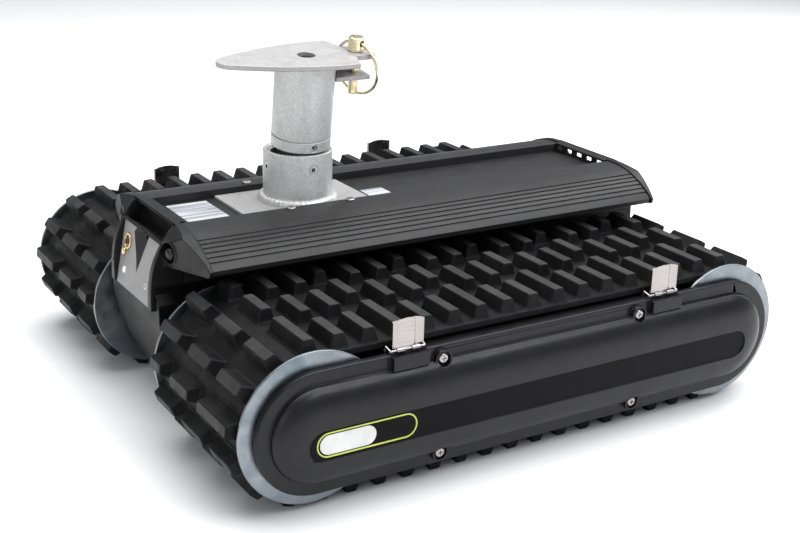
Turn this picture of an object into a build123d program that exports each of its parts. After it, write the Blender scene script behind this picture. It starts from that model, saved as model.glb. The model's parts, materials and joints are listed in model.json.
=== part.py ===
"""Tracked caravan mover: a low remote-controlled crawler that carries a trailer's hitch on a post.

Frame: +X along the tracks towards the rear end, +Z up, -Y the near track. The origin is on the
ground under the middle of the machine. Millimetres.
"""
import os
from math import atan2, cos, degrees, pi, radians, sin, tan

from build123d import *

os.makedirs("parts", exist_ok=True)

# ---------------------------------------------------------------- driving dimensions
PITCH = 29.0  # one lug row of the track
DRUM_TEETH = 13  # lug rows in one turn of a drum
ROWS = 45  # lug rows in one track
SPAN = 16 * PITCH  # between the drum axles
AXLE_X = SPAN / 2
NEUTRAL_R = DRUM_TEETH * PITCH / (2 * pi)  # bending line of the belt, 60
BELT_IN_R = NEUTRAL_R - 3.0
BELT_OUT_R = NEUTRAL_R + 4.0
LUG_H = 13.0
LUG_TOP_W, LUG_BASE_W = 10.0, 17.0
AXLE_Z = BELT_OUT_R + LUG_H  # the lugs stand on the ground
BELT_Y0, BELT_Y1 = 86.0, 259.0  # edges of a track, from the machine's middle
SHORT_ROW = ((87, 132), (151, 196), (212, 257))  # lug blocks across a row
LONG_ROW = ((87, 115), (135, 177), (195, 257))

DRUM_R = BELT_IN_R - 0.7
DISC_R, DISC_T = 70.0, 3.0
DISC_IN_Y, DISC_OUT_Y = 81.6, 262.5  # inner faces of the two discs
AXLE_R = 10.0
RUN_GAP = 0.05  # radial gap of a running fit
BEARING_R, BEARING_FLANGE_R = 18.0, 24.0

PAN_Y, SHEET = 62.0, 3.0  # half width and wall of the belly pan
NECK_Y = 53.4  # half width of the pan's neck, over its sloping shoulders
SHOULDER_Z, PAN_TOP_Z = 126.0, 141.0
PAN_END_X, PAN_BOTTOM_Z = 287.5, 10.0
NOSE_TOP_Z, NOSE_FOOT_X, NOSE_SAG = 108.0, 246.0, 7.6  # curve from the pan's end to its bottom
NOSE_X = 290.0  # bottom edge of the end panel

DECK_X = 257.0  # half length of the deck extrusion
DECK_Z, LIP_Z = 189.0, 198.0  # channel floor, top of its lips
LIP_IN_Y, LIP_OUT_Y = 44.0, 55.0
WING_Y, WING_Z = 119.5, 173.5  # lower end of the wing's arc
WING_FOOT_Y, WING_FOOT_Z = 118.0, 168.5  # bottom of the lip under it
WING_SAG = 6.0  # bulge of the wing over its chord
GROOVES = 6

HOUSE_Y = 53.0  # half width of the end housing
PANEL_TOP_X, PANEL_TOP_Z = 277.0, 180.0
PANEL_BOT_Z = 118.0
PANEL_TOP_HALF, PANEL_BOT_HALF = 46.5, 43.6
PANEL_T = 2.0

COVER_BACK_Y, COVER_FACE_Y, COVER_TOP_Y = 269.4, 273.0, 287.0
COVER_Z = 75.0  # height of the cover's middle line
COVER_R, DOME_R, DOME_STEP = 57.0, 44.5, 2.0
STRIP_R, STRIP_SPAN, STRIP_DEPTH, STRIP_Z = 14.0, 466.0, 1.5, 69.5
COVER_SCREW_X, COVER_SCREW_DZ = 111.0, 45.5
LATCH_X, LATCH_Y, LATCH_Z = 144.5, 271.0, 134.6  # hinge of a latch tab
LATCH_BLOCK_HALF, LATCH_BLOCK_Y = 18.0, 279.0  # raised block of the cover under a latch tab
LATCH_BLOCK_Z0, LATCH_BLOCK_Z1 = 119.0, 131.4

POST_X = -111.0
SOCKET_R, SOCKET_BORE_R, SOCKET_TOP_Z = 35.0, 30.0, 244.0
BASE_PLATE_Z = 192.0
TILT_Z = 204.0  # height of the post's tilt pin
LEAN = 7.5  # degrees that the post leans at rest
COLLAR_H0, COLLAR_H1 = 46.5, 57.0  # heights along the post, from the tilt pin
SPINDLE_R = 20.0
TUBE_R, TUBE_BORE_R = 29.8, 26.0
TUBE_H0, PLATE_H0, PLATE_H1 = 58.2, 133.0, 138.0
HITCH_BORE_R = 9.0
PIN_U, PIN_R, PIN_HEAD_R = 55.0, 5.0, 8.0  # lock pin, along the plate from the post's axis
BRACKET_H0, BRACKET_H1 = 112.0, 116.5
RING_R, RING_WIRE_R = 27.0, 1.5
RING_TURN = -70.0  # direction of the ring's plane, degrees about the post


def side_plane(y):
    """Plane facing outward on the near side, |y| from the machine's middle, local Y up."""
    return Plane.XZ.offset(y)


def save(part, name):
    part.label = name
    export_step(part, f"parts/{name}.step")


def save_pair(near, name):
    """Writes the near piece and its mirror image on the far side."""
    save(near, f"{name}_near")
    with BuildPart() as far:
        mirror(near, about=Plane.XZ)
    save(far.part, f"{name}_far")


def save_both(near, name):
    """Writes one group of the near pieces and their mirror images on the far side."""
    with BuildPart() as group:
        add(near)
        mirror(near, about=Plane.XZ)
    save(group.part, name)


# ---------------------------------------------------------------- tracks
def row_place(i):
    """Location of lug row i on the belt's outer surface, in the XZ plane, Y pointing outward."""
    along = i * PITCH
    half_turn = pi * NEUTRAL_R
    if along <= SPAN:
        x, z, turn = along - AXLE_X, BELT_OUT_R, 0
    elif along < SPAN + half_turn:
        turn = (along - SPAN) / NEUTRAL_R
        x, z = AXLE_X + BELT_OUT_R * sin(turn), BELT_OUT_R * cos(turn)
    elif along <= 2 * SPAN + half_turn:
        x, z, turn = AXLE_X + SPAN + half_turn - along, -BELT_OUT_R, pi
    else:
        turn = pi + (along - 2 * SPAN - half_turn) / NEUTRAL_R
        x, z = -AXLE_X + BELT_OUT_R * sin(turn), BELT_OUT_R * cos(turn)
    return Location((x, AXLE_Z + z, 0), (0, 0, -degrees(turn)))


def lug_profiles(rows, y):
    """Sketch of the lug blocks of some rows, at a distance from the machine's middle."""
    foot = 2.0  # depth of a block's foot inside the belt
    side_angle = degrees(atan2(LUG_H, (LUG_BASE_W - LUG_TOP_W) / 2))
    with BuildSketch(side_plane(y)) as profiles:
        for i in rows:
            with Locations(row_place(i)):
                Trapezoid(LUG_BASE_W, LUG_H, side_angle, align=(Align.CENTER, Align.MIN))
                Rectangle(LUG_BASE_W, foot, align=(Align.CENTER, Align.MAX))
    return profiles.sketch


with BuildPart() as belt:
    with BuildSketch(side_plane(BELT_Y0)):
        with Locations((0, AXLE_Z)):
            SlotCenterToCenter(SPAN, 2 * BELT_OUT_R)
            SlotCenterToCenter(SPAN, 2 * BELT_IN_R, mode=Mode.SUBTRACT)
    extrude(amount=BELT_Y1 - BELT_Y0)
    long_rows = range(0, ROWS, 3)
    short_rows = [i for i in range(ROWS) if i % 3]
    for y0, y1 in LONG_ROW:
        extrude(lug_profiles(long_rows, y0), amount=y1 - y0)
    for y0, y1 in SHORT_ROW:
        extrude(lug_profiles(short_rows, y0), amount=y1 - y0)
save_pair(belt.part, "belt")

# ---------------------------------------------------------------- drums
END_X = {"front": -AXLE_X, "rear": AXLE_X}
GEARBOX_Y0, GEARBOX_Y1 = 18.0, 46.0
AXLE_END_Y = 270.5

for end, x in END_X.items():
    with BuildPart() as drum:
        with BuildSketch(side_plane(DISC_IN_Y + DISC_T)):
            with Locations((x, AXLE_Z)):
                Circle(DRUM_R)
                Circle(DRUM_R - 5, mode=Mode.SUBTRACT)
        extrude(amount=DISC_OUT_Y - DISC_IN_Y - DISC_T)
    save_pair(drum.part, f"drum_{end}")

    with BuildPart() as discs:
        for y in (DISC_IN_Y, DISC_OUT_Y):
            with BuildSketch(side_plane(y)):
                with Locations((x, AXLE_Z)):
                    Circle(DISC_R)
                    Circle(AXLE_R, mode=Mode.SUBTRACT)
            extrude(amount=DISC_T)
        chamfer(discs.edges().filter_by(GeomType.CIRCLE).group_by(SortBy.RADIUS)[-1], 0.6)
    save_pair(discs.part, f"discs_{end}")

    inner_end = GEARBOX_Y0 + 2 if end == "rear" else PAN_Y - 10  # the rear axle drives from its gearbox
    with BuildPart() as axle:
        with BuildSketch(side_plane(inner_end)):
            with Locations((x, AXLE_Z)):
                Circle(AXLE_R)
        extrude(amount=AXLE_END_Y - inner_end)
        chamfer(axle.edges().filter_by(GeomType.CIRCLE), 1.0)
    save_pair(axle.part, f"axle_{end}")

# ---------------------------------------------------------------- track frames and bearings
BEAM_X, BEAM_END_Y = 158.0, 266.0
BEAM_Z0, BEAM_Z1 = 23.0, 131.0
FRAME_PLATE_R = 52.0

with BuildPart() as track_frame:
    with BuildSketch(side_plane(PAN_Y)):
        with Locations((0, AXLE_Z)):
            Rectangle(2 * BEAM_X, BEAM_Z1 - BEAM_Z0)
            Rectangle(2 * BEAM_X - 2 * SHEET, BEAM_Z1 - BEAM_Z0 - 2 * SHEET, mode=Mode.SUBTRACT)
            Rectangle(2 * SHEET, BEAM_Z1 - BEAM_Z0)
    extrude(amount=BEAM_END_Y - PAN_Y)
    with BuildSketch(side_plane(BEAM_END_Y)):
        with Locations((0, AXLE_Z)):
            SlotCenterToCenter(SPAN, 2 * FRAME_PLATE_R)
            with Locations((-AXLE_X, 0), (AXLE_X, 0)):
                Circle(BEARING_R, mode=Mode.SUBTRACT)
    extrude(amount=SHEET)
save_pair(track_frame.part, "track_frame")

with BuildPart() as bearings:
    for y0, flange_y in ((PAN_Y - 6, PAN_Y), (BEAM_END_Y, BEAM_END_Y + SHEET)):
        with BuildSketch(side_plane(y0)):
            with Locations((-AXLE_X, AXLE_Z), (AXLE_X, AXLE_Z)):
                Circle(BEARING_R)
        extrude(amount=flange_y - y0)
        with BuildSketch(side_plane(flange_y)):
            with Locations((-AXLE_X, AXLE_Z), (AXLE_X, AXLE_Z)):
                Circle(BEARING_FLANGE_R)
        extrude(amount=2.4)
    with BuildSketch(side_plane(PAN_Y - 10)):
        with Locations((-AXLE_X, AXLE_Z), (AXLE_X, AXLE_Z)):
            Circle(AXLE_R + RUN_GAP)
    extrude(amount=AXLE_END_Y - PAN_Y + 20, mode=Mode.SUBTRACT)
save_both(bearings.part, "bearings")

# ---------------------------------------------------------------- side covers
SCREW_SPOTS = [(x, COVER_Z + dz) for x in (-COVER_SCREW_X, COVER_SCREW_X)
               for dz in (-COVER_SCREW_DZ, COVER_SCREW_DZ)]
BOSS_R, BOSS_BORE_R, BOSS_Y, SCREW_SEAT_Y = 8.3, 6.4, 277.8, 274.6


def dome(radius, foot_y, top_y):
    """Long pillow on the cover's middle line: a quarter ellipse carried round both ends."""
    arc_y = foot_y + DOME_STEP
    with BuildPart() as pillow:
        for x in (-AXLE_X, AXLE_X):
            with BuildSketch(Plane(origin=(x, 0, COVER_Z), x_dir=(0, 0, 1), z_dir=(1, 0, 0))) as section:
                with BuildLine():
                    Polyline((STRIP_R, top_y), (0, top_y), (0, foot_y), (radius, foot_y), (radius, arc_y))
                    EllipticalCenterArc((STRIP_R, arc_y), radius - STRIP_R, top_y - arc_y, 0, arc_size=90)
                make_face()
            if x < 0:
                extrude(section.sketch, amount=SPAN)
                mirror(about=Plane.XY.offset(COVER_Z))
            revolve(section.sketch, axis=Axis((x, 0, COVER_Z), (0, 1, 0)))
    return pillow.part


with BuildPart() as cover:
    with BuildSketch(side_plane(COVER_BACK_Y - 3.2)):
        with Locations((0, COVER_Z)):
            SlotCenterToCenter(SPAN, 2 * COVER_R)
    extrude(amount=COVER_FACE_Y - COVER_BACK_Y + 3.2)
    fillet(cover.edges().group_by(Axis.Y)[0], 1.6)
    add(dome(DOME_R, COVER_FACE_Y - 1, COVER_TOP_Y))
    with BuildSketch(side_plane(COVER_TOP_Y - STRIP_DEPTH)):
        with Locations((0, STRIP_Z)):
            SlotCenterToCenter(STRIP_SPAN, 2 * STRIP_R)
    extrude(amount=STRIP_DEPTH + 1, mode=Mode.SUBTRACT)
    with BuildSketch(side_plane(COVER_BACK_Y - 3.4)):
        with Locations((0, COVER_Z)):
            SlotCenterToCenter(SPAN, 2 * (COVER_R - 2.5))
    extrude(amount=COVER_FACE_Y - 2.6 - COVER_BACK_Y + 3.4, mode=Mode.SUBTRACT)
    add(dome(DOME_R - 4, COVER_BACK_Y, COVER_TOP_Y - 4.6), mode=Mode.SUBTRACT)
    with BuildSketch(side_plane(COVER_BACK_Y)):  # blocks under the latch tabs
        with Locations((-LATCH_X, LATCH_BLOCK_Z0), (LATCH_X, LATCH_BLOCK_Z0)):
            Rectangle(2 * LATCH_BLOCK_HALF, LATCH_BLOCK_Z1 - LATCH_BLOCK_Z0, align=(Align.CENTER, Align.MIN))
    extrude(amount=LATCH_BLOCK_Y - COVER_BACK_Y)
    with BuildSketch(side_plane(COVER_BACK_Y - 5)):
        with Locations((-LATCH_X, LATCH_BLOCK_Z1), (LATCH_X, LATCH_BLOCK_Z1)):
            Rectangle(2 * LATCH_BLOCK_HALF, 20, align=(Align.CENTER, Align.MIN))
    extrude(amount=30, mode=Mode.SUBTRACT)
    for y, depth, radius, mode in (
        (COVER_BACK_Y, BOSS_Y - COVER_BACK_Y, BOSS_R, Mode.ADD),
        (SCREW_SEAT_Y, 20, BOSS_BORE_R, Mode.SUBTRACT),
        (COVER_BACK_Y - 1, 20, 2.6, Mode.SUBTRACT),
    ):
        with BuildSketch(side_plane(y)):
            with Locations(SCREW_SPOTS):
                Circle(radius)
        extrude(amount=depth, mode=mode)
save_pair(cover.part, "cover")

# ---------------------------------------------------------------- cover screws, badge, latch tabs
with BuildPart() as cover_screws:
    with BuildSketch(side_plane(SCREW_SEAT_Y)):
        with Locations(SCREW_SPOTS):
            Circle(4.8)
    extrude(amount=2.8)
    fillet(cover_screws.edges().group_by(Axis.Y)[0], 1.6)
    with BuildSketch(side_plane(BEAM_END_Y + SHEET + 0.2)):
        with Locations(SCREW_SPOTS):
            Circle(2.3)
    extrude(amount=SCREW_SEAT_Y - BEAM_END_Y - SHEET - 0.2)
    with BuildSketch(side_plane(SCREW_SEAT_Y + 1.4)):
        with Locations(SCREW_SPOTS):
            Rectangle(5, 1.1)
            Rectangle(1.1, 5)
    extrude(amount=3, mode=Mode.SUBTRACT)
save_both(cover_screws.part, "cover_screws")

BADGE_X, BADGE_LENGTH, BADGE_H = -191.0, 98.0, 23.0  # plain name plate at the front end of the strip
BADGE_LINE = 1.3

with BuildPart() as badge:
    with BuildSketch(side_plane(COVER_TOP_Y - STRIP_DEPTH)):
        with Locations((BADGE_X, STRIP_Z + 0.5)):
            SlotOverall(BADGE_LENGTH, BADGE_H)
            SlotOverall(BADGE_LENGTH - 2 * BADGE_LINE, BADGE_H - 2 * BADGE_LINE, mode=Mode.SUBTRACT)
        with Locations((BADGE_X - BADGE_LENGTH / 2 + 30, STRIP_Z + 0.5)):
            SlotOverall(54, BADGE_H - 5)
    extrude(amount=0.8)
save_both(badge.part, "badges")

TAB_HALF, TAB_TOP_Z, TAB_T = 16.0, 163.0, 1.2
HINGE_WIRE_R, HINGE_BARREL_R = 1.2, 2.4
TAB_Y = LATCH_Y - HINGE_BARREL_R  # outer face of an upright tab


def latch_tab(x):
    """Upright sheet tab rolled round its hinge wire, with a return flange at one edge."""
    with BuildPart() as tab:
        with BuildSketch(side_plane(TAB_Y)):
            with Locations((x, LATCH_Z)):
                Rectangle(2 * TAB_HALF, TAB_TOP_Z - LATCH_Z, align=(Align.CENTER, Align.MIN))
        extrude(amount=TAB_T)
        with BuildSketch(side_plane(TAB_Y - 4)):
            with Locations((x - TAB_HALF, LATCH_Z + 4)):
                Rectangle(TAB_T, TAB_TOP_Z - LATCH_Z - 4, align=(Align.MIN, Align.MIN))
        extrude(amount=4 + TAB_T)
        with BuildSketch(side_plane(TAB_Y - 1.6)):
            with Locations((x + TAB_HALF, LATCH_Z + 4)):
                Rectangle(8, TAB_TOP_Z - LATCH_Z - 4, align=(Align.MAX, Align.MIN))
        extrude(amount=1.6)
        with BuildSketch(Plane.YZ.offset(x - 12)):
            with Locations((-LATCH_Y, LATCH_Z)):
                Circle(HINGE_BARREL_R)
        extrude(amount=24)
        with BuildSketch(Plane.YZ.offset(x - TAB_HALF - 1)):
            with Locations((-LATCH_Y, LATCH_Z)):
                Circle(HINGE_WIRE_R + RUN_GAP)
        extrude(amount=2 * TAB_HALF + 2, mode=Mode.SUBTRACT)
    return tab.part


for end, x in (("front", -LATCH_X), ("rear", LATCH_X)):
    save_pair(latch_tab(x), f"latch_{end}")

with BuildPart() as hinge_wires:
    for x in (-LATCH_X, LATCH_X):
        wire_half = TAB_HALF + 1.4
        foot_y = BEAM_END_Y - 4
        with BuildLine() as wire_path:
            FilletPolyline(
                (x - wire_half, -foot_y, BEAM_Z1 + 0.1), (x - wire_half, -foot_y, LATCH_Z + 2),
                (x - wire_half, -LATCH_Y, LATCH_Z), (x + wire_half, -LATCH_Y, LATCH_Z),
                (x + wire_half, -foot_y, LATCH_Z + 2), (x + wire_half, -foot_y, BEAM_Z1 + 0.1),
                radius=1.35,
            )
        with BuildSketch(Plane(wire_path.line @ 0, z_dir=(0, 0, 1))):
            Circle(HINGE_WIRE_R)
        sweep(path=wire_path.line)
save_both(hinge_wires.part, "hinge_wires")

# ---------------------------------------------------------------- belly pan
def pan_block(inset):
    """Closed block of the pan's outside, or of its inside when moved in by the wall's thickness."""
    end, bottom = PAN_END_X - inset, PAN_BOTTOM_Z + inset
    side, neck = PAN_Y - inset, NECK_Y - inset
    shoulder = SHOULDER_Z - inset * tan(radians(22.5))
    with BuildPart() as block:
        with BuildSketch(Plane.XZ.offset(-side)):
            with BuildLine():
                top, foot = Vector(end, NOSE_TOP_Z), Vector(NOSE_FOOT_X - inset / 2, bottom)
                bulge = (foot - top).rotate(Axis.Z, 90).normalized() * NOSE_SAG
                nose = ThreePointArc(top, (top + foot) / 2 + bulge, foot)
                Polyline(nose @ 1, (0, bottom), (0, PAN_TOP_Z), (end, PAN_TOP_Z), nose @ 0)
            make_face()
            mirror(about=Plane.YZ)
        extrude(amount=2 * side)
        with BuildSketch(Plane.YZ.offset(-end)):
            with BuildLine():
                Polyline(
                    (0, bottom), (side, bottom), (side, shoulder), (neck, shoulder + side - neck),
                    (neck, PAN_TOP_Z), (0, PAN_TOP_Z), close=True,
                )
            make_face()
            mirror(about=Plane.YZ)
        extrude(amount=2 * end, mode=Mode.INTERSECT)
    return block.part


with BuildPart() as belly_pan:
    add(pan_block(0))
    add(pan_block(SHEET), mode=Mode.SUBTRACT)
    with BuildSketch(side_plane(-PAN_Y - 1)):
        with Locations((-AXLE_X, AXLE_Z), (AXLE_X, AXLE_Z)):
            Circle(BEARING_R)
    extrude(amount=2 * PAN_Y + 2, mode=Mode.SUBTRACT)
    house_length = PAN_END_X - DECK_X + 1
    with BuildSketch(Plane.XY.offset(PANEL_BOT_Z - 0.4)):  # the end housings stand in the pan's neck
        with Locations((-DECK_X - house_length / 2, 0), (DECK_X + house_length / 2, 0)):
            Rectangle(house_length, 2 * HOUSE_Y + 0.4)
    extrude(amount=PAN_TOP_Z, mode=Mode.SUBTRACT)
save(belly_pan.part, "belly_pan")

# ---------------------------------------------------------------- deck
def wing_arc(inset):
    """Outer arc of the near wing, from its lip to its lower edge, moved inward by inset."""
    top, tip = Vector(LIP_OUT_Y, LIP_Z - inset), Vector(WING_Y - 1.4 * inset, WING_Z)
    bulge = (tip - top).rotate(Axis.Z, 90).normalized() * WING_SAG
    return ThreePointArc(top, (top + tip) / 2 + bulge, tip)


with BuildPart() as deck:
    with BuildSketch(Plane.YZ.offset(-DECK_X)):
        for inset, mode in ((0, Mode.ADD), (SHEET, Mode.SUBTRACT)):
            with BuildLine():
                wing = wing_arc(inset)
                foot = (WING_FOOT_Y - 1.4 * inset, WING_FOOT_Z)
                Polyline(wing @ 0, (0, LIP_Z - inset), (0, WING_FOOT_Z), foot, wing @ 1)
            make_face(mode=mode)
        with Locations((0, DECK_Z - SHEET)):
            Rectangle(LIP_IN_Y + SHEET, LIP_Z - DECK_Z + SHEET, align=Align.MIN)
        with Locations((0, DECK_Z)):
            Rectangle(LIP_IN_Y, 20, align=Align.MIN, mode=Mode.SUBTRACT)
        with Locations((NECK_Y - SHEET, PAN_TOP_Z)):  # leg that stands on the pan's neck
            Rectangle(SHEET, LIP_Z - PAN_TOP_Z - 1, align=Align.MIN)
        with BuildLine(mode=Mode.PRIVATE) as outer_arc:
            wing_arc(0)
        for i in range(GROOVES):
            share = 0.44 + 0.086 * i
            spot, along = outer_arc.line @ share, outer_arc.line % share
            slope = degrees(atan2(along.Y, along.X))
            with Locations(Location((spot.X, spot.Y, 0), (0, 0, slope))):
                Rectangle(1.8, 2.2, mode=Mode.SUBTRACT)
        mirror(about=Plane.YZ)
    extrude(amount=2 * DECK_X)
save(deck.part, "deck")

# ---------------------------------------------------------------- end caps
PANEL_SLOPE = atan2(NOSE_X - PANEL_TOP_X, PANEL_TOP_Z - PANEL_BOT_Z)
PANEL_HEIGHT = (PANEL_TOP_Z - PANEL_BOT_Z) / cos(PANEL_SLOPE)
# plane of the front panel's face, seen from outside: local X towards the near side, local Y up
PANEL_PLANE = Plane(
    origin=(-(NOSE_X + PANEL_TOP_X) / 2, 0, (PANEL_TOP_Z + PANEL_BOT_Z) / 2),
    x_dir=(0, -1, 0),
    z_dir=(-cos(PANEL_SLOPE), 0, sin(PANEL_SLOPE)),
)
CAP_GAP, CAP_PROUD = 0.6, 1.6
BAR_IN_X, BAR_OUT_X, BAR_T = 251.5, 264.6, 2.6  # edges and thickness of the carrying bar
WINDOW_PITCH = 18.0  # of the windows in the skirt under the bar
HAND_Y = 48.0  # half width of the hand cavity
FIN_IN, FIN_OUT = (278.5, 46.0), (260.5, 122.0)  # two points (x, y) of a fin's slanted outer face
SCOOP_Y, SCOOP_Z, SCOOP_R, SCOOP_RIM_R = 60.5, 176.5, 9.8, 12.0
PLUG_R = 6.3
WEDGE_HALF, WEDGE_PEAK_X, WEDGE_TIP_Z = 15.0, 285.5, 140.0
# front edge of the housing's cheeks, from the pan up to the bar (x, z)
CHEEK_CURVE = ((-291.8, PANEL_BOT_Z), (-291.2, 140), (-288, 160), (-284, 171), (-277.5, 183), (-270, 194.5))

fin_slope = atan2(FIN_IN[0] - FIN_OUT[0], FIN_OUT[1] - FIN_IN[1])
# plane of the near fin's outer face at its scoop, seen from outside
FIN_PLANE = Plane(
    origin=(-FIN_IN[0] + (SCOOP_Y - FIN_IN[1]) * sin(fin_slope) / cos(fin_slope), -SCOOP_Y, SCOOP_Z),
    x_dir=(sin(fin_slope), -cos(fin_slope), 0),
    z_dir=(-cos(fin_slope), -sin(fin_slope), 0),
)

with BuildPart() as wedge:  # three-sided beak under the lip of the hand cavity
    with BuildSketch(Plane.XY.offset(182)) as wedge_top:
        with BuildLine():
            Polyline(
                (-WEDGE_PEAK_X, 0), (-PANEL_TOP_X + 4, WEDGE_HALF + 3), (-PANEL_TOP_X + 4, -WEDGE_HALF - 3),
                close=True,
            )
        make_face()
    loft(sections=[wedge_top.sketch.face(), Vertex(-PANEL_TOP_X - 7.6, 0, WEDGE_TIP_Z)])

with BuildPart() as fins:
    with BuildSketch(Plane.YZ.offset(-FIN_IN[0] - 2)):
        with BuildLine():
            wing = wing_arc(-CAP_PROUD)
            Polyline(wing @ 0, (0, LIP_Z + CAP_PROUD), (0, 161), (HOUSE_Y - 3, 161),
                     (WING_FOOT_Y + CAP_PROUD, WING_FOOT_Z - 0.6), wing @ 1)
        make_face()
        mirror(about=Plane.YZ)
    extrude(amount=FIN_IN[0] + 2 - DECK_X - CAP_GAP)
    with BuildSketch(Plane.XY.offset(140)):  # the outer faces run back towards the wing tips
        with BuildLine():
            Polyline((-FIN_IN[0], FIN_IN[1]), (-FIN_IN[0] - 20, FIN_IN[1]), (-FIN_IN[0] - 20, 140),
                     (-FIN_OUT[0] + (140 - FIN_OUT[1]) * sin(fin_slope) / cos(fin_slope), 140), close=True)
        make_face()
        mirror(about=Plane.XZ)
    extrude(amount=70, mode=Mode.SUBTRACT)
    with BuildSketch(Plane.XZ.offset(-150)):  # the top runs down along the cheeks
        with BuildLine():
            cheek_top = Spline(*CHEEK_CURVE)
            Polyline(cheek_top @ 1, (-BAR_OUT_X, LIP_Z + CAP_PROUD), (-BAR_OUT_X, 220), (-310, 220),
                     (-310, PANEL_BOT_Z), cheek_top @ 0)
        make_face()
    extrude(amount=300, mode=Mode.SUBTRACT)

with BuildPart() as end_cap:
    add(fins.part)
    with BuildSketch(Plane.XZ.offset(-HOUSE_Y)):
        with BuildLine():
            cheek = Spline(*CHEEK_CURVE)
            Polyline(cheek @ 1, (-BAR_OUT_X, LIP_Z + CAP_PROUD), (-DECK_X - CAP_GAP, LIP_Z + CAP_PROUD),
                     (-DECK_X - CAP_GAP, PANEL_BOT_Z), cheek @ 0)
        make_face()
    extrude(amount=2 * HOUSE_Y)
    with BuildSketch(Plane.YZ.offset(-DECK_X - CAP_GAP)):  # tongue of the bar, between the deck's lips
        with Locations((0, DECK_Z + 0.3)):
            Rectangle(2 * LIP_IN_Y - 0.6, LIP_Z + CAP_PROUD - DECK_Z - 0.3, align=(Align.CENTER, Align.MIN))
    extrude(amount=DECK_X + CAP_GAP - BAR_IN_X)
    with BuildSketch(Plane.XZ.offset(-HAND_Y)):  # hand cavity under the bar
        with BuildLine():
            cavity_top = LIP_Z + CAP_PROUD - BAR_T
            roof = Line((-BAR_OUT_X - 0.1, cavity_top), (-DECK_X + 1.5, cavity_top))
            back = Line(roof @ 1, (-DECK_X - CAP_GAP - 2, 177))
            scoop = ThreePointArc(back @ 1, (-266, 170), (-274, 182.2))
            Polyline(scoop @ 1, (-PANEL_TOP_X - 9, 182.2), (-PANEL_TOP_X - 9, LIP_Z + 3),
                     (-BAR_OUT_X - 0.1, LIP_Z + 3), roof @ 0)
        make_face()
    extrude(amount=2 * HAND_Y, mode=Mode.SUBTRACT)
    with BuildSketch(Plane.XZ.offset(-LIP_IN_Y + 3)):  # under the tongue, up to its skirt
        with Locations((-BAR_IN_X - 2.4, DECK_Z + 0.2)):
            Rectangle(9, cavity_top - DECK_Z - 0.2, align=(Align.MAX, Align.MIN))
    extrude(amount=2 * LIP_IN_Y - 6, mode=Mode.SUBTRACT)
    with BuildSketch(Plane.YZ.offset(-BAR_IN_X - 5)):  # windows in the skirt
        with Locations((0, cavity_top)):
            with GridLocations(WINDOW_PITCH, 1, 5, 1):
                Rectangle(WINDOW_PITCH / 2 + 0.5, 4.5, align=(Align.CENTER, Align.MAX))
    extrude(amount=10, mode=Mode.SUBTRACT)
    with BuildSketch(Plane.XZ.offset(-HAND_Y - 1)):  # space behind the panel
        with Locations((-DECK_X - CAP_GAP - 2, PANEL_BOT_Z)):
            Rectangle(25, 28, align=(Align.MAX, Align.MIN))
    extrude(amount=2 * HAND_Y + 2, mode=Mode.SUBTRACT)
    with BuildSketch(PANEL_PLANE.offset(-PANEL_T)):  # seat of the panel
        with BuildLine():
            Polyline((0, PANEL_HEIGHT / 2 + 0.3), (PANEL_TOP_HALF + 0.3, PANEL_HEIGHT / 2 + 0.3),
                     (PANEL_BOT_HALF + 0.3, -PANEL_HEIGHT / 2 - 1), (0, -PANEL_HEIGHT / 2 - 1), close=True)
        make_face()
        mirror(about=Plane.YZ)
    extrude(amount=14, mode=Mode.SUBTRACT)
    add(wedge.part)
    for start, depth, radius, mode in (
        (-4, 5.2, SCOOP_RIM_R, Mode.ADD), (-10, 20, SCOOP_R, Mode.SUBTRACT),
    ):  # rims and scoops for the domed plugs
        with BuildPart(mode=Mode.PRIVATE) as scoop_tool:
            with BuildSketch(FIN_PLANE.offset(start)):
                Circle(radius)
            extrude(amount=depth)
            mirror(about=Plane.XZ)
        add(scoop_tool.part, mode=mode)
save(end_cap.part, "end_cap_front")
with BuildPart() as end_cap_rear:
    mirror(end_cap.part, about=Plane.YZ)
save(end_cap_rear.part, "end_cap_rear")

# ---------------------------------------------------------------- end panels
SOCKET_AT = (-30.0, 13.3)  # charging socket on the front panel, in its plane
LENS_AT = (-28.5, -15.3)
SCREW_AT = (26.0, -15.3)
SOCKET_HOLE_R, LENS_HOLE_R = 8.2, 3.6


def end_panel(holes):
    """Grey plate that fits the end cap's seat, notched round the beak, with round holes."""
    with BuildPart() as panel:
        with BuildSketch(PANEL_PLANE.offset(-PANEL_T + 0.05)):
            with BuildLine():
                Polyline((0, PANEL_HEIGHT / 2), (PANEL_TOP_HALF, PANEL_HEIGHT / 2),
                         (PANEL_BOT_HALF, -PANEL_HEIGHT / 2), (0, -PANEL_HEIGHT / 2), close=True)
            make_face()
            mirror(about=Plane.YZ)
            with BuildLine():
                Polyline((0, -10.5), (-WEDGE_HALF - 2, PANEL_HEIGHT / 2 + 1),
                         (WEDGE_HALF + 2, PANEL_HEIGHT / 2 + 1), close=True)
            make_face(mode=Mode.SUBTRACT)
            for place, radius in holes:
                with Locations(place):
                    Circle(radius, mode=Mode.SUBTRACT)
        extrude(amount=PANEL_T - 0.05)
    return panel.part


screw_places = (SCREW_AT, (-SCREW_AT[0] - 6, SCREW_AT[1]))
save(end_panel(((SOCKET_AT, SOCKET_HOLE_R), (LENS_AT, LENS_HOLE_R), (SCREW_AT, 3.2))), "panel_front")
with BuildPart() as panel_rear:
    mirror(end_panel([(place, 3.2) for place in screw_places]), about=Plane.YZ)
save(panel_rear.part, "panel_rear")

with BuildPart() as socket_ring:
    with BuildSketch(PANEL_PLANE.offset(-PANEL_T + 0.1)):
        with Locations(SOCKET_AT):
            Circle(SOCKET_HOLE_R - 0.2)
            Circle(6.0, mode=Mode.SUBTRACT)
    extrude(amount=PANEL_T + 1.4)
save(socket_ring.part, "socket_ring")

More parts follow.
